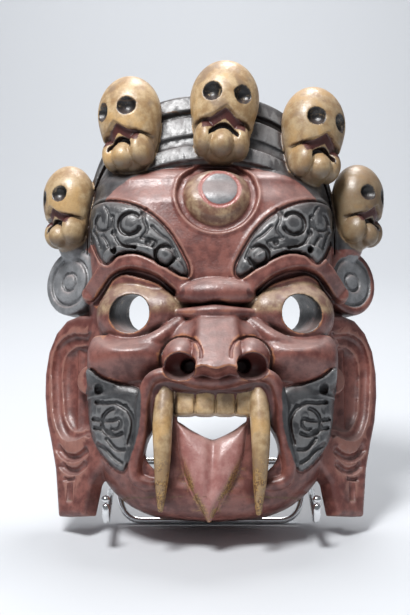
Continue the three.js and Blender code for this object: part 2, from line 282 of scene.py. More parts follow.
def third_eye(p):
    r = np.hypot(p[0] - THIRD[0], p[1] - THIRD[1])
    moat = 3.6 * ramp(28.4, 26.4, r) * ramp(17, 24, r)
    dome = 5.4 * np.sqrt(np.maximum(1 - (r / 23.2) ** 2, 0))
    lip = 1.2 * np.exp(-(((r - 29.6) / 1.5) ** 2))
    line = groove(r - 27.6, 1.8, 1.0)
    iris = np.hypot(p[0] - PUPIL[0], p[1] - PUPIL[1])
    return moat - dome - lip + line + groove(iris - 13.2, 1.8, 0.7)


BROW = ring_of(
    [(84, 219), (66, 218), (46, 209.5), (31, 196), (19, 176), (16.5, 167), (20.5, 164.5),
     (32, 171), (49.6, 180), (64, 179.5), (73, 174.5), (82.5, 193), (86, 206)]
)
CURL_A = (56, 200.5)
CURL_B = (31.5, 177.5)


def arc(u, v, centre, radius, start, sweep):
    """Distance to part of a circle; angles in degrees, turning left from the right."""
    x, y = u - centre[0], v - centre[1]
    turn = np.degrees(np.arctan2(y, x)) - start
    turn = np.mod(turn + 180 - sweep / 2, 360) - 180 + sweep / 2
    inside = np.clip(turn, 0, sweep)
    angle = np.radians(inside + start)
    return np.hypot(x - radius * np.cos(angle), y - radius * np.sin(angle))


def brow(p):
    u, v = p[0], p[1]
    rise = pillow(polygon(u, v, BROW), 5.2, 8.0)
    cuts = groove(np.abs(polygon(u, v, BROW) - 0.6), 2.2, 1.6)
    lip = 0.9 * np.exp(-(((polygon(u, v, BROW) - 3.2) / 1.3) ** 2))
    for (x, y), r, start in ((CURL_A, 7.4, -150), (CURL_B, 6.6, -160)):
        cuts = np.maximum(cuts, groove(arc(u, v, (x, y), r, start, 285), 3.4, 3.6))
        near = np.hypot(u - x, v - y)
        rise = rise + 1.6 * np.sqrt(np.maximum(1 - (near / (r - 0.8)) ** 2, 0))
    cuts = np.maximum(cuts, groove(arc(u, v, (74, 204), 6.4, 150, 260), 2.6, 2.6))
    cuts = np.maximum(cuts, groove(arc(u, v, (84, 205), 14, 140, 95), 1.8, 1.6))
    for line in (
        [(67.5, 199), (66.5, 193), (61, 185), (52, 183)],
        [(45, 211), (46.5, 203), (44, 196), (48, 190)],
        [(47, 190), (42, 188.5), (38, 186.5), (40, 183)],
        [(41, 198), (35, 192), (28, 187), (23, 176)],
        [(70, 185), (72, 190), (75, 194)],
        [(76.5, 186), (79, 194), (82, 200)],
    ):
        cuts = np.maximum(cuts, groove(along(u, v, spline(line, 4))[0], 2.4, 2.0))
    for x, y in ((67, 195), (43.4, 187), (67, 181.5), (47, 207.5)):
        cuts = np.maximum(cuts, groove(np.hypot((u - x) * 1.2, v - y), 5.2, 3.4))
    return cuts - rise - lip


# ---- eyes ----
EYE = (58.0, 139.0)
LID = spline(
    [(88, 157, 40), (82, 163, 50), (73, 171.5, 60), (58, 175.5, 65), (38, 169.5, 68), (21, 156, 66)], 5
)
LOWER_LID = [(80, 121, 46), (70, 117.0, 58), (56, 114.5, 66), (40, 120.0, 69), (24, 133, 66)]
SOCKET = spline(
    [(82, 153, 0), (73, 166.5, 0), (63.6, 170.5, 0), (53, 168.5, 0), (36, 162.5, 0), (24, 152, 0)], 4
)
BORE_TURN = math.radians(22)
BORE_DROP = math.radians(11)
BORE_AXIS = (
    math.cos(BORE_DROP) * math.sin(BORE_TURN),
    -math.sin(BORE_DROP),
    math.cos(BORE_DROP) * math.cos(BORE_TURN),
)
BORE = 12.6
BORE_AT = (51.8, 141.5, 55.0)

eyeball = ball((EYE[0] - 1.5, EYE[1] + 1, 50), (25.5, 24.5, 23))
corner = roll([(46, 141, 54), (36, 142, 58), (27, 143, 60)], [18, 15, 8])
lower_lid = roll(LOWER_LID, [5.0, 6.0, 6.2, 6.0, 4.6], deep=1.1)


def lid(p):
    d, t = along(p[0], p[1], LID)
    top = np.interp(t, np.linspace(0, 1, len(LID)), LID[:, 2]) + 7
    return both_in(d - 5.2, p[2] - top, 2.5)


def bore(radius):
    def distance(p):
        x = [p[k] - BORE_AT[k] for k in range(3)]
        t = sum(x[k] * BORE_AXIS[k] for k in range(3))
        off = [x[k] - t * BORE_AXIS[k] for k in range(3)]
        flare = 1.4 * ramp(13, 21, t)
        return np.sqrt(off[0] ** 2 + off[1] ** 2 + off[2] ** 2) - radius - flare

    return distance


# ---- nose, bridge and cheeks ----
def ridge(v):
    return 101 - 0.5676 * (v - 97)


def nose(p):
    u, v, w = p
    half = 13.2 + 1.6 * ramp(134, 99, v)
    wave = 1.2 * np.cos((u - MID) * 0.36)
    face = (w - ridge(v) + 0.004 * (u - MID) ** 2) / 1.15
    side = (np.abs(u - MID - 0.8) - half - 0.30 * np.maximum(ridge(v) - w, 0)) / 1.06
    under = (-17 * (v - 96.5 + wave) + 4 * (w - 101)) / 17.5
    top = (v - 137) * 0.9
    return both_in(both_in(both_in(face, side, 3.5), under, 1.5), top, 6.0)


root = ball((MID, 117, 58), (40, 24, 22))
wing = ball((23.2, 105, 75), (13.2, 15.5, 17))
wing_hollow = ball((24, 98.5, 91), (11.2, 8.8, 18))
nostril = roll([(19.5, 99.5, 90), (17.5, 103, 62)], [5.6, 4.6])


def wing_line(p):
    return groove(np.hypot(p[0] - 23.2, (p[1] - 105) * 0.87) - 13.6, 1.8, 1.5) * ramp(98, 104, p[1])


upper_roll = ball((MID, 151.5, 67), (27.5, 11.5, 14.5))
LOWER_ROLL = [(-23, 139, 67), (-8, 138.0, 73), (MID, 138.4, 75), (14, 138.0, 73), (29, 139, 67)]
lower_roll = roll(LOWER_ROLL, [3.0, 4.4, 4.6, 4.4, 3.0], 1.3)


def upper_bridge(p):
    return both_in(upper_roll(p), 144.6 - p[1] + 0.7 * np.cos((p[0] - MID) * 0.3), 2.0)


def cheek(p):
    u, v, w = p
    edge = 112.5 + 0.0075 * (60 - np.minimum(u, 60)) ** 2
    bulge = ball((54, 108, 50), (36, 26, 30))(p)
    shelf = both_in(bulge, (v - edge) * 0.8 + (w - 78.5) * 0.6, 1.4)
    return both_in(both_in(shelf, 0.55 * (w - 72) - 0.83 * (v - 98), 9.0), u - 85.5, 5.0)


# ---- mouth ----
LIP = [(0, 89.8, 79), (10, 90.5, 80), (20, 93, 81), (31, 95, 81), (41, 91, 78), (45.5, 78, 73),
       (46, 64, 69), (47.8, 52, 65), (51.3, 38, 61), (50, 28, 59), (42, 24.5, 58), (36, 24.5, 57)]
LIP_INSIDE = [(0, 86.5, 73), (20, 88.5, 74.5), (33, 90.5, 74), (39.5, 80, 71),
              (40.8, 64, 65), (42.8, 52, 60), (45, 40, 57), (42, 31, 55), (35, 30, 54)]
lip = roll(LIP, [4.4] * 5 + [4.7] * 7, deep=1.35)
lip_inside = roll(LIP_INSIDE, [4.4] * 9, deep=1.2)
lip_bulk = ball((MID, 85, 57), (47, 18, 19))
MOUTHS = (
    np.array([(-23, 72), (-21, 60), (-8, 50), (10, 50), (22, 60), (24, 72)], float),
    ring_of([(-33, 67), (-37, 62), (-42, 53), (-43.5, 44), (-40, 36.5), (-32, 34)], 3),
    ring_of([(33, 34), (40.5, 36.5), (44.5, 45), (43.5, 53), (39, 62), (35, 67)], 3),
)
TOOTH = 13.4  # from one tooth's middle to the next
FANG_TIPS = ((-33.5, 7, 66), (31, 5, 66))


def mouth_holes(p):
    return np.minimum.reduce([polygon(p[0], p[1], m) for m in MOUTHS]) - 0.4


def teeth(p):
    u, v, w = p
    across = (u - 2.6) % TOOTH - TOOTH / 2
    edge = 69.0 + 0.9 * (across / 6.7) ** 4
    arch = 78 - 0.006 * (u - 1.5) ** 2
    face = w - arch + 1.3 * np.abs(across / 6.7) ** 3 + 0.10 * np.maximum(v - 74, 0)
    gaps = groove(np.abs(across) - 6.7, 1.9, 2.4)
    body = both_in(np.maximum(np.abs(u - 1.5) - 26, v - 86), edge - v, 2.0)
    return both_in(both_in(body, face + gaps, 2.0), 58 + 0.35 * (v - 70) - w, 2.0)


def fang(side, tip):
    points = [(side * 31, 89, 70), (side * 32.3, 62, 74), (side * 32.3, 40, 73), tip]
    return roll(points, [6.2, 6.7, 6.6, 6.2, 5.6, 4.4, 1.9], deep=1.25, steps=6)


fangs = [fang(side, tip) for side, tip in zip((-1, 1), FANG_TIPS)]
TONGUE = ring_of(
    [(1, 54.3), (-12, 59.5), (-23.3, 66), (-23.4, 55), (-20.6, 40), (-14.2, 22), (-7, 8), (-1.6, -1.2),
     (4.2, 8), (12.2, 22), (20.6, 40), (24, 55), (24.2, 66), (14, 59.5)], 4
)


def tongue(p):
    u, v, w = p
    outline = polygon(u, v, TONGUE)
    middle = -1.6 + 2.6 * ramp(0, 54, v)
    furrow = 3.4 * np.exp(-(((u - middle) / 3.4) ** 2)) * ramp(6, 24, v)
    swell = pillow(outline, 6.5, 6.5) + 2.5 * ramp(0, 16, -outline) - furrow
    top = 61.5 + swell + 2.5 * ramp(60, 20, v) - 3 * ramp(20, 0, v)
    return both_in(both_in(outline, w - top, 2.0), 57.5 - w, 1.0)


chin = ball((-1.5, 18, 44), (46, 16.2, 19))
chin_shelf = roll([(-40, 30, 50), (-20, 22, 52), (0, 18, 54), (20, 22, 52), (40, 30, 50)], [9, 10, 11, 10, 9])

JAW = ring_of(
    [(85, 101), (74, 95), (62, 91), (48, 87), (46.8, 72), (48.5, 58),
     (53, 44), (58, 34), (64, 35), (74, 45), (81.5, 58), (85.5, 76)]
)


def jaw(p):
    u, v = p[0], p[1]
    outline = polygon(u, v, JAW)
    rise = pillow(outline, 3.0, 5.0)
    cuts = groove(np.abs(outline - 0.3), 2.0, 1.2)
    lines = (
        [(78, 80), (71, 78.5), (63, 78), (56, 73.5)],
        [(80, 69), (73, 67), (67, 66.5), (62, 67.5)],
        [(79, 63), (72, 61), (66, 57.5)],
        [(77, 52), (70, 47.5), (65, 42), (60, 38.5)],
        [(57.5, 76), (52.8, 68), (52.6, 60), (55, 51)],
        [(70, 55), (64, 48), (58, 47)],
    )
    for line in lines:
        cuts = np.maximum(cuts, groove(along(u, v, spline(line, 4))[0], 3.0, 2.4))
    cuts = np.maximum(cuts, groove(arc(u, v, (64.5, 65.5), 9.0, -120, 200), 3.2, 3.0))
    cuts = np.maximum(cuts, groove(arc(u, v, (64.5, 64.5), 4.0, 150, 150), 2.6, 2.2))
    cuts = np.maximum(cuts, groove(np.hypot(u - 76, v - 88), 6.5, 3.2))
    return cuts - rise


# ---- headdress ----
def arches(u, v):
    """How far out of the forehead a place lies, 0 at its edge and 1 at the crown's outline."""
    low = np.full(np.broadcast(u, v).shape, -0.8, np.float32)
    high = np.full_like(low, 1.8)
    for _ in range(16):
        s = (low + high) / 2
        power = 2.2 + 0.3 * s
        a = np.abs(u) / (82 + 8 * s)
        b = np.maximum(v - TEMPLE, 0) / np.maximum(54 + 55.5 * s, 4)
        outside = a**power + b**power > 1
        low = np.where(outside, s, low)
        high = np.where(outside, high, s)
    return (low + high) / 2


def headdress(p):
    u, v, w = p
    s = arches(u, v)
    power = 2.2 + 0.3 * s
    lean = np.minimum(np.abs(u) / (82 + 8 * s), 1) ** power
    face = 58 - 13 * np.clip(s, 0, 1) - 15 * lean
    slit = ramp(0.67, 0.70, s) * ramp(0.79, 0.76, s)
    recess = ramp(0.25, 0.28, s) * ramp(0.42, 0.39, s)
    line = ramp(-0.04, 0.0, s) * ramp(0.065, 0.035, s)
    face = face - 5 * slit - 3.2 * recess - 4 * line
    step = np.maximum(8.0, 55.5 * (1 - lean) ** 0.5)
    sides = both_in((s - 1) * step, -s * step, 0.01)
    body = both_in(sides, (w - face) * 0.9, 2.0)
    return both_in(np.maximum(body, (face - 16) - w), TEMPLE - 6 - v, 2.0)


# ---- skulls ----
SKULLS = (
    ((9, 285, 58), 6, 1.0, -5),
    ((-58, 277, 52), -34, 0.96, 3),
    ((73, 269, 52), 32, 0.96, -4),
    ((-103, 223, 28), -48, 0.82, 0),
    ((107, 224, 28), 48, 0.82, 0),
)
SKULL_DARKNESS = (0.0, 0.0, 0.25, 0.1, 0.6)  # how dark each skull is


def local(p, at, turn, size, tip=0.0):
    """The same point in a skull's own frame: x across it, y up and z forward."""
    c, s = math.cos(math.radians(turn)), math.sin(math.radians(turn))
    x, y, z = p[0] - at[0], p[1] - at[1], p[2] - at[2]
    x, z = x * c - z * s, x * s + z * c
    ct, st = math.cos(math.radians(tip)), math.sin(math.radians(tip))
    x, y = x * ct + y * st, y * ct - x * st
    return x / size, y / size, z / size


def bow_height(x):
    """Height of the upper lip's cupid's bow."""
    return np.interp(np.abs(x), [0, 8, 16, 24], [-0.5, -6.5, -9.0, -12.5]).astype(np.float32)


def skull(q):
    x, y, z = q
    head = blended(ball((0, 10, -1), (24.6, 29.5, 22))(q), ball((0, -11, -2), (19.0, 26, 18.5))(q), 8)
    under = y - bow_height(x)
    return head + 4.4 * ramp(0.7, -0.7, under) * ramp(-30, -14, y) * ramp(-6, 4, z)


def skull_parts(q):
    """Knob and cheek lumps that stand in the mouth's recess."""
    x, y, z = q
    knob = ball((0, -25.5, 8.5), (8.8, 10.0, 9.5))(q)
    lumps = ball((12.2, -21, 2.5), (7.8, 12.5, 12))((np.abs(x), y, z))
    return blended(knob, lumps, 0.8)


def skull_holes(q):
    x, y, z = q
    sockets = ball((11.8, 9.0, 21), (7.2, 7.0, 9))((np.abs(x), y, z))
    arch = -13.2 - 0.062 * x * x
    gap = both_in(both_in(np.abs(y - arch) - 1.7, np.abs(x) - 10.5, 1.0), 7 - z, 1.0)
    return np.minimum(sockets, gap)


# ---- ears and earrings, turned outward ----
EAR_TURN = math.radians(37)
EAR_AT = (86.0, 36.0)
EAR = np.array(
    [(-16, 40), (-3, 26), (2.5, 5), (26, 5), (30, 38), (35, 57), (39.5, 72), (42, 90), (42, 106),
     (39, 122), (32, 135), (22, 143), (10, 145.2), (-10, 143)], float,
)
CONCHA = ring_of(
    [(-6, 126), (4, 130.5), (17, 132), (29, 126.5), (34.5, 112), (33.5, 92), (31, 74), (24, 60.5),
     (14, 56.5), (3, 59), (-6, 64)]
)
BOWL = ring_of(
    [(-6, 118), (4, 122.5), (16, 123), (25.5, 117), (28, 104), (26.5, 86), (24.5, 74), (17, 64.5),
     (6, 64), (-6, 70)]
)


def turned(p):
    c, s = math.cos(EAR_TURN), math.sin(EAR_TURN)
    x, z = p[0] - EAR_AT[0], p[2] - EAR_AT[1]
    return x * c - z * s, p[1], x * s + z * c


def ear(p):
    e, v, n = turned(p)
    edge = polygon(e, v, EAR)
    dish = pillow(polygon(e, v, CONCHA), 5.0, 3.6) + pillow(polygon(e, v, BOWL), 4.6, 7.0)
    tragus = np.hypot((e + 1) / 1.1, v - 98)
    dish = dish * ramp(9, 13, tragus) - 1.2 * np.sqrt(np.maximum(1 - (tragus / 12) ** 2, 0))
    dish = dish + groove(tragus - 12.5, 2.4, 1.8)
    for line, width, depth in (
        ([(-2, 50), (8, 45), (19, 46), (28, 54)], 6.0, 3.6),
        ([(-1, 41), (8, 35.5), (17, 36.5), (24, 41.5)], 5.6, 3.2),
        ([(9.5, 30.5), (15, 29.8), (21, 30.5)], 3.4, 2.6),
        ([(14.5, 29), (14.5, 14)], 6.0, 1.8),
    ):
        d, t = along(e, v, spline(line, 4))
        dish = np.maximum(dish, groove(d, width, depth) * ramp(-0.02, 0.12, t) * ramp(1.02, 0.88, t))
    outer = both_in(edge, n + dish, 4.5)
    return both_in(outer, -16 - n, 3.0)


def earring(p):
    e, v, n = turned(p)
    r = np.hypot(e - 20, v - 171)
    cuts = np.maximum(groove(r - 16.8, 3.0, 2.4), groove(r - 6.4, 2.6, 2.0))
    dome = 1.2 * np.sqrt(np.maximum(1 - (r / 6) ** 2, 0)) + 0.6 * np.exp(-(((r - 11.5) / 4) ** 2))
    return both_in(both_in(r - 24, n + cuts - dome + 1.2, 4.0), -24 - n, 3.0)


def side_board(p):
    across = both_in(np.abs(p[1] - 118) - 100, np.abs(p[2] - 12) - 10, 2.0)
    return both_in(np.abs(p[0] - 88) - 6, across, 2.0)


shoulder = ball((98, 204, 20), (13, 20, 13))


# ---- the whole carving ----
def under_lid(p):
    return groove(along(p[0], p[1], SOCKET)[0], 8.5, 5.0)


def carve():
    c = Carving((-127, -4, -3), (127, 329, 107), STEP)
    whole = ((-127, -4, -3), (127, 329, 107))
    c.add(block(0), whole, 0.01)
    c.add(chin, ((-52, -2, 10), (50, 40, 66)), 3)
    c.add(chin_shelf, ((-56, 2, 30), (56, 46, 70)), 3)
    c.each_side(c.add, cheek, ((20, 78, 25), (92, 124, 86)), 1.0, blend=2.0)
    c.add(root, ((-38, 88, 30), (44, 146, 82)), 5)
    c.each_side(c.add, eyeball, ((28, 110, 20), (90, 172, 76)), MID, blend=1.5)
    c.each_side(c.add, corner, ((14, 118, 30), (72, 166, 76)), MID, blend=4.0)
    c.each_side(c.sink, under_lid, ((16, 146, 40), (88, 178, 80)), MID)
    c.each_side(c.add, lower_lid, ((14, 106, 34), (94, 144, 84)), MID, blend=1.2)
    c.each_side(c.add, lid, ((10, 146, 34), (94, 186, 82)), MID, blend=1.0)
    c.add(nose, ((-34, 84, 40), (40, 142, 106)), 4)
    c.add(upper_bridge, ((-30, 136, 48), (36, 166, 86)), 1.5)
    c.add(lower_roll, ((-30, 128, 58), (36, 150, 86)), 1.0)
    c.each_side(c.add, wing, ((4, 86, 60), (38, 122, 96)), MID, blend=0.6)
    c.each_side(c.sink, wing_line, ((4, 96, 56), (40, 122, 96)), MID)
    c.each_side(c.sink, brow, ((10, 158, 32), (92, 224, 84)), 0.5)
    c.sink(third_eye, ((-34, 182, 46), (42, 256, 84)))
    c.each_side(c.sink, jaw, ((44, 28, 22), (88, 100, 80)), 0.0)
    c.cut(block(WALL), whole, 2.0)
    c.add(lip_bulk, ((-46, 66, 38), (52, 106, 82)), 3)
    c.each_side(c.add, lip_inside, ((-6, 20, 40), (56, 100, 84)), 0.5, blend=1.0)
    c.each_side(c.add, lip, ((-6, 14, 40), (60, 104, 92)), 0.5, blend=1.2)
    c.cut(mouth_holes, ((-50, 28, -3), (52, 76, 100)), 1.0)
    c.each_side(c.cut, wing_hollow, ((4, 80, 60), (38, 108, 107)), MID, blend=1.0)
    c.each_side(c.cut, nostril, ((4, 90, 60), (28, 112, 104)), MID, blend=0.8)
    c.each_side(c.cut, bore(BORE), ((24, 112, 8), (84, 172, 86)), MID, blend=1.0)
    c.add(teeth, ((-28, 64, 50), (30, 88, 82)), 0.5)
    for shape, tip in zip(fangs, FANG_TIPS):
        c.add(shape, ((tip[0] - 12, 0, 54), (tip[0] + 14, 100, 88)), 0.6)
    c.add(tongue, ((-28, -4, 52), (29, 72, 80)), 0.6)
    c.add(headdress, ((-94, 188, 8), (94, 308, 66)), 0.8)
    c.each_side(c.add, shoulder, ((80, 180, 0), (116, 228, 38)), blend=2.0)
    c.each_side(c.add, side_board, ((78, 14, 0), (98, 222, 26)), blend=2.0)
    c.each_side(c.add, ear, ((64, 2, -3), (127, 150, 52)), blend=1.0)
    c.each_side(c.add, earring, ((74, 143, -3), (127, 199, 44)), blend=1.0)
    for at, turn, size, tip in SKULLS:
        box = (tuple(x - 46 * size for x in at), tuple(x + 44 * size for x in at))
        c.add(lambda p: skull(local(p, at, turn, size, tip)) * size, box, 1.5)
        c.add(lambda p: skull_parts(local(p, at, turn, size, tip)) * size, box, 0.5)
        c.cut(lambda p: skull_holes(local(p, at, turn, size, tip)) * size, box, 0.8)
    c.cut(block(WALL), ((-90, -4, -3), (90, 300, 40)), 1.0)
    c.cut(lambda p: p[2], ((-127, -4, -3), (127, 329, 4)), 0.5)
    return c


def to_row(points):
    u, v, w = points[:, 0], points[:, 1], points[:, 2]
    y = v * math.sin(LEAN) - w * math.cos(LEAN)
    z = v * math.cos(LEAN) + w * math.sin(LEAN)
    return np.stack([u + SHIFT[0], y + SHIFT[1], z + SHIFT[2]], axis=1) * MM


def to_local(points):
    x, y, z = (points[:, k] / MM - SHIFT[k] for k in range(3))
    v = y * math.sin(LEAN) + z * math.cos(LEAN)
    w = z * math.sin(LEAN) - y * math.cos(LEAN)
    return np.stack([x, v, w], axis=1)


def meshed(carving):
    thick = 3 * carving.step
    grid = openvdb.FloatGrid(thick)
    grid.copyFromArray(np.ascontiguousarray(np.clip(carving.field, -thick, thick)), tolerance=1e-4)
    points, quads = grid.convertToQuads(isovalue=0.0)
    points = to_row(points * carving.step + carving.low)
    mesh = bpy.data.meshes.new("carving")
    mesh.from_pydata(points.tolist(), [], quads.tolist())
    mesh.update()
    return mesh


def piece_of(name, mesh):
    obj = bpy.data.objects.new(name, mesh)
    bpy.context.scene.collection.objects.link(obj)
    return obj


def applied(obj):
    graph = bpy.context.evaluated_depsgraph_get()
    mesh = bpy.data.meshes.new_from_object(obj.evaluated_get(graph))
    obj.modifiers.clear()
    obj.data = mesh
    return obj


# ---- what each place of the surface is painted ----
def mirrored(shape, p, middle=0.0):
    """A right-hand shape and its mirror image, as one distance."""
    return shape((np.abs(p[0] - middle), p[1], p[2]))


def ash_at(p):
    """The pale grey of the earrings and the pupil."""
    u, v, w = p
    e, _, n = turned((np.abs(u), v, w))
    r = np.hypot(e - 20, v - 171)
    spools = np.maximum(r - np.where(u < 0, 26.0, 18.6), np.maximum(-9 - n, n - 6))
    spools = np.maximum(spools, 0.5 * (80 - np.abs(u)))
    pupil = np.maximum(np.hypot(u - PUPIL[0], v - PUPIL[1]) - 12.4, 60 - w)
    return np.minimum(spools, pupil)


def slate_at(p):
    """The blacker grey of the headdress, the brows and the beard."""
    u, v, w = p
    s = arches(u, v)
    span = np.maximum(8.0, 55.5 * (1 - np.minimum(np.abs(u) / 90, 1) ** 2.3) ** 0.5)
    crest = np.maximum(-(s - 0.005) * span, np.maximum(193 - v, 14 - w))
    brows = np.maximum(polygon(np.abs(u - 0.5), v, BROW) - 0.4, 30 - w)
    jaws = np.maximum(polygon(np.abs(u), v, JAW) - 0.2, 22 - w)
    return np.minimum.reduce([crest, brows, jaws])


def skulls_at(p, shape, less=0.0):
    return np.minimum.reduce([shape(local(p, *s)) * s[2] - less for s in SKULLS])


def bone(q):
    return np.minimum(skull(q), skull_parts(q))


def gum_at(q):
    x, y, z = q
    bow = bow_height(x)
    return np.maximum(np.maximum(y - bow + 0.4, bow - 8 - y), np.maximum(np.abs(x) - 15.5, 6 - z))


def ivory_at(p):
    heads = skulls_at(p, bone, 1.2)
    bite = np.minimum(teeth(p), np.minimum(fangs[0](p), fangs[1](p))) - 0.9
    return np.minimum(heads, bite)


def ochre_at(p):
    u, v, w = p
    ball_part = mirrored(lambda q: np.minimum(eyeball(q), corner(q)), p, MID) - 1.4
    other = mirrored(lambda q: np.minimum(lid(q), lower_lid(q)), p, MID)
    eye = np.maximum(ball_part, 1.1 - other)
    eye = np.maximum(eye, (139 - v) * 0.35)
    iris = np.maximum(np.hypot(u - THIRD[0], v - THIRD[1]) - 23.0, 60 - w)
    iris = np.maximum(iris, 13.4 - np.hypot(u - PUPIL[0], v - PUPIL[1]))
    return np.minimum(eye, iris)


def deep_at(p):
    w = p[2]
    hollows = mirrored(lambda q: np.minimum(wing_hollow(q), nostril(q)), p, MID) - 0.7
    bevel = np.maximum(mirrored(lip_inside, p, 0.5) - 0.9, 0.9 - mirrored(lip, p, 0.5))
    recess = mirrored(lambda q: along(q[0], q[1], SOCKET)[0] - 3.6, p, MID)
    recess = np.maximum(recess, 1.2 - mirrored(lambda q: np.minimum(lid(q), eyeball(q)), p, MID))
    gums = skulls_at(p, gum_at)
    return np.minimum.reduce([hollows, bevel, np.maximum(recess, 40 - w), gums])


def black_at(p):
    holes = mirrored(bore(BORE), p, MID) - 0.5
    holes = np.maximum(holes, p[2] - 75)
    sockets = skulls_at(p, skull_holes, 0.5)
    s = arches(p[0], p[1])
    slit = np.maximum(np.abs(s - 0.73) * 55 - 2.4, p[2] - 46)
    slit = np.maximum(slit, np.maximum(16 - p[2], 205 - p[1]))
    return np.minimum.reduce([holes, sockets, slit])


def tongue_at(p):
    return tongue(p) - 0.9


def raw_at(p):
    """Bare wood: the hollow and the back."""
    inside = block(WALL)((p[0], p[1], np.maximum(p[2], 0.1))) - 1.5
    return np.minimum(inside, p[2] - 1.0)


def red_at(p):
    """The ring round the third eye's pupil."""
    r = np.hypot(p[0] - PUPIL[0], p[1] - PUPIL[1])
    return np.maximum(np.abs(r - 13.6) - 1.3, 60 - p[2])


LAYERS = {
    "ash": ash_at,
    "slate": slate_at,
    "ochre": ochre_at,
    "ivory": ivory_at,
    "deep": deep_at,
    "tongue": tongue_at,
    "black": black_at,
    "raw": raw_at,
    "red": red_at,
}


def shown_by(field, points, normals):
    """Openness and how sharply the surface bends, read off the carving's field."""
    shut = 0
    for reach, weight in ((1.6, 0.2), (3.5, 0.25), (7.0, 0.3), (13.0, 0.25)):
        shut = shut + weight * np.clip(1 - field.at(points + normals * reach) / reach, 0, 1)
    side = np.cross(normals, np.roll(normals, 1, axis=1) + 0.01)
    side /= np.maximum(np.linalg.norm(side, axis=1, keepdims=True), 1e-6)
    other = np.cross(normals, side)
    bend = 0
    for way in (side, -side, other, -other):
        bend = bend + field.at(points + way * 2.2) / 8.8
    return 1 - shut, bend


def gilding(p):
    """How strongly the gold-brown of the fangs' and the tongue's lower ends shows."""
    u, v = p[0], p[1]
    bite = ramp(1.5, 0.4, np.minimum(fangs[0](p), fangs[1](p))) * ramp(52, 22, v)
    rim = polygon(u, v, TONGUE)
    edge = ramp(1.5, 0.4, tongue(p)) * ramp(-4.4, -1.6, rim) * ramp(46, 26, v)
    return np.maximum(bite, edge)


def skull_darkening(p):
    """How dark the skulls are painted: painted shade under their chins, and each whole skull by a listed
    share, most the one on the far right.
    """
    skull_dark = 0
    for skull_at, share in zip(SKULLS, SKULL_DARKNESS):
        q = local(p, *skull_at)
        near = ramp(4, 1, bone(q))
        # the chins' lower ends darkened as painted shade
        skull_dark = np.maximum(skull_dark, near * np.maximum(share, 0.75 * ramp(-24, -33, q[1])))
    return skull_dark


def attribute(mesh, name, values):
    layer = mesh.attributes.new(name, "FLOAT", "POINT")
    layer.data.foreach_set("value", np.asarray(values, np.float32))


def painted(obj, field):
    """Writes the paint's layers and the measures used for wear, for dusting with a painted sheen on faces
    turned up, for painted shade in hollows and under the skulls' chins, and for darker skulls, on the mesh.
    """
    mesh = obj.data
    count = len(mesh.vertices)
    places = np.empty(count * 3)
    mesh.vertices.foreach_get("co", places)
    normals = np.empty(count * 3)
    mesh.vertex_normals.foreach_get("vector", normals)
    points = to_local(places.reshape(-1, 3))
    normals = normals.reshape(-1, 3)
    y, z = normals[:, 1], normals[:, 2]
    upward = y * math.sin(LEAN) + z * math.cos(LEAN)
    forward = z * math.sin(LEAN) - y * math.cos(LEAN)
    local_normals = np.stack([normals[:, 0], upward, forward], axis=1)
    p = tuple(points[:, k] for k in range(3))
    for name, layer in LAYERS.items():
        attribute(mesh, name, layer(p))
    opened, bend = shown_by(field, points, local_normals)
    attribute(mesh, "open", opened)
    attribute(mesh, "gold", gilding(p))
    attribute(mesh, "skull_dark", skull_darkening(p))
    attribute(mesh, "hot", ramp(86, 80, np.abs(p[0])) * ramp(84, 92, p[1]) * ramp(172, 150, p[1]))
    attribute(mesh, "edge", bend)
    # dust, and a painted sheen of the light from above, on open faces turned up
    attribute(mesh, "dust_and_sheen", ramp(0.25, 1.0, normals[:, 2]) * ramp(0.35, 0.9, opened))


# ---- materials ----
class Tree:
    """Short names for building one material's nodes."""

    def __init__(self, name):
        self.material = bpy.data.materials.new(name)
        self.material.use_nodes = True
        self.tree = self.material.node_tree
        self.shader = self.tree.nodes["Principled BSDF"]
        self.place = self.tree.nodes.new("ShaderNodeTexCoord").outputs["Object"]

    def set(self, socket, value):
        if isinstance(value, bpy.types.NodeSocket):
            self.tree.links.new(value, socket)
        else:
            socket.default_value = value

    def math(self, operation, a, b=0.0, clamp=False):
        node = self.tree.nodes.new("ShaderNodeMath")
        node.operation = operation
        node.use_clamp = clamp
        self.set(node.inputs[0], a)
        self.set(node.inputs[1], b)
        return node.outputs[0]

    def noise(self, scale, detail=3.0, rough=0.55, stretch=None):
        node = self.tree.nodes.new("ShaderNodeTexNoise")
        node.inputs["Scale"].default_value = scale
        node.inputs["Detail"].default_value = detail
        node.inputs["Roughness"].default_value = rough
        place = self.place
        if stretch:
            mapping = self.tree.nodes.new("ShaderNodeMapping")
            mapping.inputs["Scale"].default_value = stretch
            self.tree.links.new(place, mapping.inputs["Vector"])
            place = mapping.outputs[0]
        self.tree.links.new(place, node.inputs["Vector"])
        return node.outputs["Fac"]

    def value(self, name):
        node = self.tree.nodes.new("ShaderNodeAttribute")
        node.attribute_name = name
        return node.outputs["Fac"]

    def span(self, value, low, high, to_low=0.0, to_high=1.0):
        node = self.tree.nodes.new("ShaderNodeMapRange")
        node.interpolation_type = "SMOOTHSTEP"
        for socket, v in zip(node.inputs, (value, low, high, to_low, to_high)):
            self.set(socket, v)
        return node.outputs[0]

    def mix(self, share, a, b, kind="MIX"):
        node = self.tree.nodes.new("ShaderNodeMix")
        node.data_type = "RGBA"
        node.blend_type = kind
        self.set(node.inputs[0], share)
        for socket, v in ((node.inputs[6], a), (node.inputs[7], b)):
            self.set(socket, (*v, 1) if isinstance(v, tuple) else v)
        return node.outputs[2]

    def bump(self, height, distance, strength=1.0, under=None):
        node = self.tree.nodes.new("ShaderNodeBump")
        node.inputs["Distance"].default_value = distance
        node.inputs["Strength"].default_value = strength
        self.tree.links.new(height, node.inputs["Height"])
        if under is not None:
            self.tree.links.new(under, node.inputs["Normal"])
        return node.outputs[0]


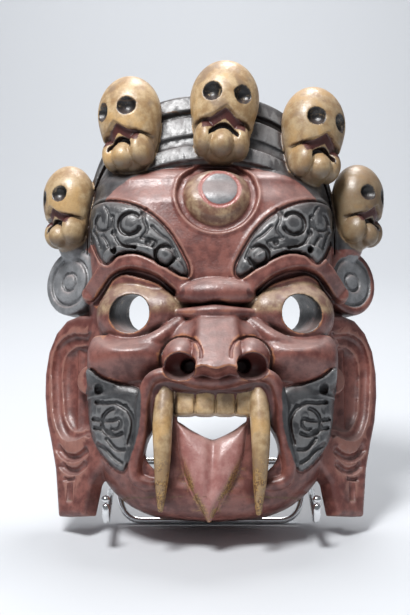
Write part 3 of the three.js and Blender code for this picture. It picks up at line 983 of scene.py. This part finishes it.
def mask_paint():
    t = Tree("mask_paint")
    broad = t.noise(38, 3)
    mid = t.noise(150, 4, 0.6)
    fine = t.noise(800, 3, 0.6)
    grain = t.noise(220, 4, 0.6, stretch=(5.0, 5.0, 0.7))
    coarse = t.math("MULTIPLY", t.math("SUBTRACT", mid, 0.5), 2.2)
    wobble = t.math("ADD", coarse, t.math("MULTIPLY", t.math("SUBTRACT", fine, 0.5), 1.2))

    def layer(name, soft=0.45):
        return t.span(t.math("ADD", t.value(name), wobble), soft, -soft)

    mixed = t.math("ADD", t.math("MULTIPLY", mid, 0.6), t.math("MULTIPLY", broad, 0.4))
    patch = t.span(mixed, 0.38, 0.62)
    speck = t.span(fine, 0.40, 0.66)
    edge = t.math("ADD", t.value("edge"), t.math("MULTIPLY", t.math("SUBTRACT", mid, 0.5), 0.34))
    # sharp edges: rubbed wear on the skin, and a painted highlight on the slate
    worn_and_highlit_edge = t.span(edge, 0.12, 0.30)
    skin = t.mix(patch, (0.118, 0.030, 0.024), (0.265, 0.098, 0.078))
    wear = t.mix(t.value("hot"), (0.36, 0.17, 0.13), (0.62, 0.26, 0.11))
    skin = t.mix(t.math("MULTIPLY", worn_and_highlit_edge, 0.62), skin, wear)
    slate = t.mix(patch, (0.030, 0.031, 0.034), (0.080, 0.082, 0.085))
    # pale grey on the slate's sharp edges: a painted highlight on its ridges, with some wear
    slate = t.mix(t.math("MULTIPLY", worn_and_highlit_edge, 0.40), slate, (0.30, 0.30, 0.30))
    halved = t.math("ADD", t.math("MULTIPLY", broad, 0.5), t.math("MULTIPLY", mid, 0.5))
    mottle = t.span(halved, 0.40, 0.60)
    ochre = t.mix(mottle, (0.17, 0.075, 0.045), (0.46, 0.33, 0.20))
    ivory = t.mix(patch, (0.36, 0.22, 0.10), (0.62, 0.46, 0.27))
    ivory = t.mix(t.span(broad, 0.52, 0.64, 0.0, 0.55), ivory, (0.62, 0.36, 0.12))
    ivory = t.mix(t.span(broad, 0.44, 0.34, 0.0, 0.55), ivory, (0.22, 0.16, 0.12))
    tongue_color = t.mix(patch, (0.34, 0.13, 0.115), (0.48, 0.25, 0.225))
    ash = t.mix(patch, (0.16, 0.165, 0.172), (0.27, 0.275, 0.285))
    color = t.mix(layer("ash"), skin, ash)
    grey = layer("slate")
    color = t.mix(grey, color, slate)
    color = t.mix(layer("ochre", 0.9), color, ochre)
    color = t.mix(layer("ivory"), color, ivory)
    color = t.mix(layer("red"), color, (0.42, 0.13, 0.11))
    color = t.mix(layer("tongue"), color, tongue_color)
    gold = t.mix(speck, (0.12, 0.05, 0.015), (0.55, 0.32, 0.09))
    color = t.mix(t.math("MULTIPLY", t.value("gold"), t.span(mid, 0.36, 0.56)), color, gold)
    # skulls painted darker: painted shade under their chins, and whole skulls by their listed share
    skull_dark = t.math("MULTIPLY", t.value("skull_dark"), t.span(mid, 0.2, 0.6, 0.6, 1.0))
    color = t.mix(skull_dark, color, (0.075, 0.052, 0.036))
    color = t.mix(layer("deep"), color, (0.085, 0.020, 0.017))
    color = t.mix(layer("black"), color, (0.012, 0.011, 0.011))
    bare = layer("raw")
    wood = t.mix(grain, (0.10, 0.052, 0.028), (0.26, 0.155, 0.085))
    color = t.mix(bare, color, wood)

    open_air = t.value("open")
    # painted shade: darkens grooves, hollows and crevices by how shut in they are, with some grime there too
    painted_shade = t.math("MULTIPLY", t.span(open_air, 0.62, 0.10), 0.80)
    color = t.mix(painted_shade, color, (0.030, 0.014, 0.011))
    # pinkish grey on faces turned up: dust, and a painted sheen of the light from above
    dust_and_sheen_share = t.math("MULTIPLY", t.value("dust_and_sheen"), t.span(broad, 0.25, 0.70, 0.55, 1.0))
    dust_and_sheen_share = t.math("MULTIPLY", dust_and_sheen_share, t.math("SUBTRACT", 1.0, t.math("MULTIPLY", grey, 0.75)))
    color = t.mix(t.math("MULTIPLY", dust_and_sheen_share, 0.50), color, (0.56, 0.41, 0.38))
    color = t.mix(t.math("MULTIPLY", speck, 0.10), color, (0.05, 0.03, 0.025))
    t.set(t.shader.inputs["Base Color"], color)
    worn = t.math("ADD", 0.34, t.math("MULTIPLY", fine, 0.18))
    gloss = t.math("ADD", t.math("MULTIPLY", patch, -0.10), worn)
    t.set(t.shader.inputs["Roughness"], t.math("ADD", gloss, t.math("MULTIPLY", bare, 0.35), clamp=True))
    t.shader.inputs["Specular IOR Level"].default_value = 0.75
    rough = t.bump(mid, 0.0012, 0.35)
    t.set(t.shader.inputs["Normal"], t.bump(fine, 0.0003, 0.5, rough))
    return t.material


def chrome():
    t = Tree("chrome")
    t.shader.inputs["Metallic"].default_value = 1.0
    smear = t.noise(260, 3)
    t.set(t.shader.inputs["Base Color"], t.mix(smear, (0.70, 0.71, 0.72), (0.86, 0.87, 0.88)))
    t.set(t.shader.inputs["Roughness"], t.span(smear, 0.3, 0.7, 0.08, 0.20))
    return t.material


carving = carve()
mask = piece_of("carved_mask", meshed(carving))
count = sum(len(f.vertices) - 2 for f in mask.data.polygons)
if count > TRIANGLES:
    less = mask.modifiers.new("less", "DECIMATE")
    less.ratio = TRIANGLES / count
    applied(mask)
mask.data.shade_smooth()
painted(mask, carving)
mask.data.materials.clear()
mask.data.materials.append(mask_paint())
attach(mask, "root")
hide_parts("mask")

# ---- the chromed cradle ----
def rounded(corners, bend, steps=8):
    """The corners of a bent rod, each eased over its bend."""
    p = [Vector(c) for c in corners]
    line = [p[0]]
    for before, at, after in zip(p, p[1:], p[2:]):
        start = at + (before - at).normalized() * bend
        end = at + (after - at).normalized() * bend
        for t in np.linspace(0, 1, steps + 1):
            line.append(start * (1 - t) ** 2 + at * (2 * t * (1 - t)) + end * t**2)
    return line + [p[-1]]


def rod(name, corners, radius, bend, replaced):
    """A round chromed rod with domed ends, in the row frame, millimetres."""
    line = rounded(corners, bend)
    ways = [(b - a).normalized() for a, b in zip(line, line[1:])]
    rings = [(line[0] - ways[0] * radius * (math.cos(t) - 1), ways[0], math.sin(t)) for t in DOME]
    rings += [(at, (a + b).normalized(), 1.0) for at, a, b in zip(line[1:], ways, ways[1:])]
    rings += [(line[-1] + ways[-1] * radius * (math.cos(t) - 1), ways[-1], math.sin(t)) for t in DOME[::-1]]
    side = ways[0].orthogonal().normalized()
    points = []
    for centre, way, share in rings:
        side = (side - way * side.dot(way)).normalized()
        other = way.cross(side)
        for k in range(ROUND):
            turn = 2 * math.pi * k / ROUND
            points.append((centre + (side * math.cos(turn) + other * math.sin(turn)) * radius * share) * MM)
    faces = []
    for r in range(len(rings) - 1):
        for k in range(ROUND):
            a, b = r * ROUND + k, r * ROUND + (k + 1) % ROUND
            faces.append((a, b, b + ROUND, a + ROUND))
    faces += [tuple(range(ROUND))[::-1], tuple(range(len(points) - ROUND, len(points)))]
    mesh = bpy.data.meshes.new(name)
    mesh.from_pydata(points, [], faces)
    mesh.shade_smooth()
    obj = piece_of(name, mesh)
    mesh.materials.append(chrome())
    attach(obj, "root")
    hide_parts(replaced)
    return obj


def leaning(u, v, w):
    """A place given in the carving's frame, in the row frame, millimetres."""
    y = v * math.sin(LEAN) - w * math.cos(LEAN)
    z = v * math.cos(LEAN) + w * math.sin(LEAN)
    return (u + SHIFT[0], y + SHIFT[1], z + SHIFT[2])


def standing(x, y, z):
    return (x + SHIFT[0], y + SHIFT[1], z + SHIFT[2])


ROUND = 20  # facets round a rod
DOME = np.radians([12, 45, 75])
WIRE = 2.2
HOOK_WIRE = 2.6
BACK = -2.8  # the frame's plane, behind the carving's rim
SIDE_HALF = 80
FRAME_TOP = 196
TOP_BAR = 188  # height of the bar across it
BAR_HALF = 60.5
BAR_UP = 3.4  # height of the bar on the table
KNEE = 80  # height at which the sides turn inward
WELD = 0.6  # room left at each weld
PROP_WELD = 125
PROP_REACH = 150  # how far back the prop stands
HOOK_OUT = 71.6
HOOK_BACK = 14
HOOK_UP = 20.6
PRONG_OUT = 70
PRONG_FORWARD = -50.5
PRONG_TOP = 33
TIP = 3.1
TIP_UP = 33.3
TIP_HIGH = 5.2

frame_corners = [(SIDE_HALF, FRAME_TOP), (SIDE_HALF, KNEE), (BAR_HALF, BAR_UP)]
frame_corners = [(-u, v) for u, v in frame_corners] + frame_corners[::-1]
rod("frame_rod", [leaning(u, v, BACK) for u, v in frame_corners], WIRE, 12, "front_frame")
half_bar = SIDE_HALF - WIRE - WELD
rod("bar_rod", [leaning(u, TOP_BAR, BACK) for u in (-half_bar, 0, half_bar)], WIRE, 1, "top_bar")
foot_z = leaning(0, BAR_UP, BACK)[2] - SHIFT[2]
_, weld_y, weld_z = leaning(0, PROP_WELD, BACK)
top = (weld_y - SHIFT[1] + 1.5 * WIRE, weld_z - SHIFT[2] - WIRE)
foot = (PROP_REACH, foot_z)
prop = [(-SIDE_HALF, *top), (-SIDE_HALF, *foot), (SIDE_HALF, *foot), (SIDE_HALF, *top)]
rod("prop_rod", [standing(*c) for c in prop], WIRE, 14, "rear_prop")
for word, side in (("left", -1), ("right", 1)):
    prong = (side * PRONG_OUT, PRONG_FORWARD)
    hook = [(side * HOOK_OUT, HOOK_BACK, HOOK_UP), (*prong, HOOK_UP), (*prong, PRONG_TOP)]
    rod("hook_rod_" + word, [standing(*c) for c in hook], HOOK_WIRE, 6, "hook_" + word)
    tip = [(*prong, TIP_UP), (*prong, TIP_UP + TIP_HIGH)]
    rod("tip_" + word, [standing(*c) for c in tip], TIP, 1, "prong_tip_" + word)


# ---- stage, light and camera ----
CAMERA_DROP = math.radians(10)
AIM = Vector((-0.0062, -0.0259, 0.1528))
AWAY = 0.9


def place_camera():
    lens = bpy.data.cameras.new("camera")
    lens.lens = 75.3
    lens.sensor_width = 36
    camera = bpy.data.objects.new("camera", lens)
    bpy.context.scene.collection.objects.link(camera)
    away = Vector((0, math.cos(CAMERA_DROP), -math.sin(CAMERA_DROP)))
    camera.location = AIM - away * AWAY
    camera.rotation_euler = away.to_track_quat("-Z", "Y").to_euler()
    bpy.context.scene.camera = camera


def sweep():
    """A pale table top that curves up into the backdrop."""
    rise = 0.9
    turns = np.linspace(0, math.pi / 2, 25)
    line = [(-3.0, 0.0)] + [(1.1 + rise * math.sin(t), rise * (1 - math.cos(t))) for t in turns] + [(2.0, 4.0)]
    mesh = bpy.data.meshes.new("table")
    points = [(side * 4.0, y, z) for y, z in line for side in (-1, 1)]
    faces = [(2 * i, 2 * i + 1, 2 * i + 3, 2 * i + 2) for i in range(len(line) - 1)]
    mesh.from_pydata(points, [], faces)
    mesh.shade_smooth()
    table = piece_of("table", mesh)
    t = Tree("table")
    t.shader.inputs["Base Color"].default_value = (0.66, 0.68, 0.71, 1)
    t.shader.inputs["Roughness"].default_value = 0.6
    mesh.materials.append(t.material)


place_camera()
sweep()
world = bpy.data.worlds.new("world")
world.use_nodes = True
world.node_tree.nodes["Background"].inputs["Color"].default_value = (0.90, 0.94, 1.0, 1)
world.node_tree.nodes["Background"].inputs["Strength"].default_value = 0.20
bpy.context.scene.world = world


def softbox(name, at, aim, size, power):
    light = bpy.data.lights.new(name, "AREA")
    light.shape = "DISK"
    light.size = size
    light.energy = power
    obj = bpy.data.objects.new(name, light)
    obj.location = at
    obj.rotation_euler = (Vector(aim) - Vector(at)).to_track_quat("-Z", "Y").to_euler()
    bpy.context.scene.collection.objects.link(obj)


softbox("key", (-0.30, -0.50, 1.25), (0, 0, 0.15), 0.40, 18)
softbox("over", (0.10, 0.50, 1.2), (0, 0, 0.12), 0.45, 8)
softbox("back", (0, 1.0, 1.5), (0, 2.0, 0.6), 1.0, 13)
bpy.context.scene.view_settings.view_transform = "Standard"
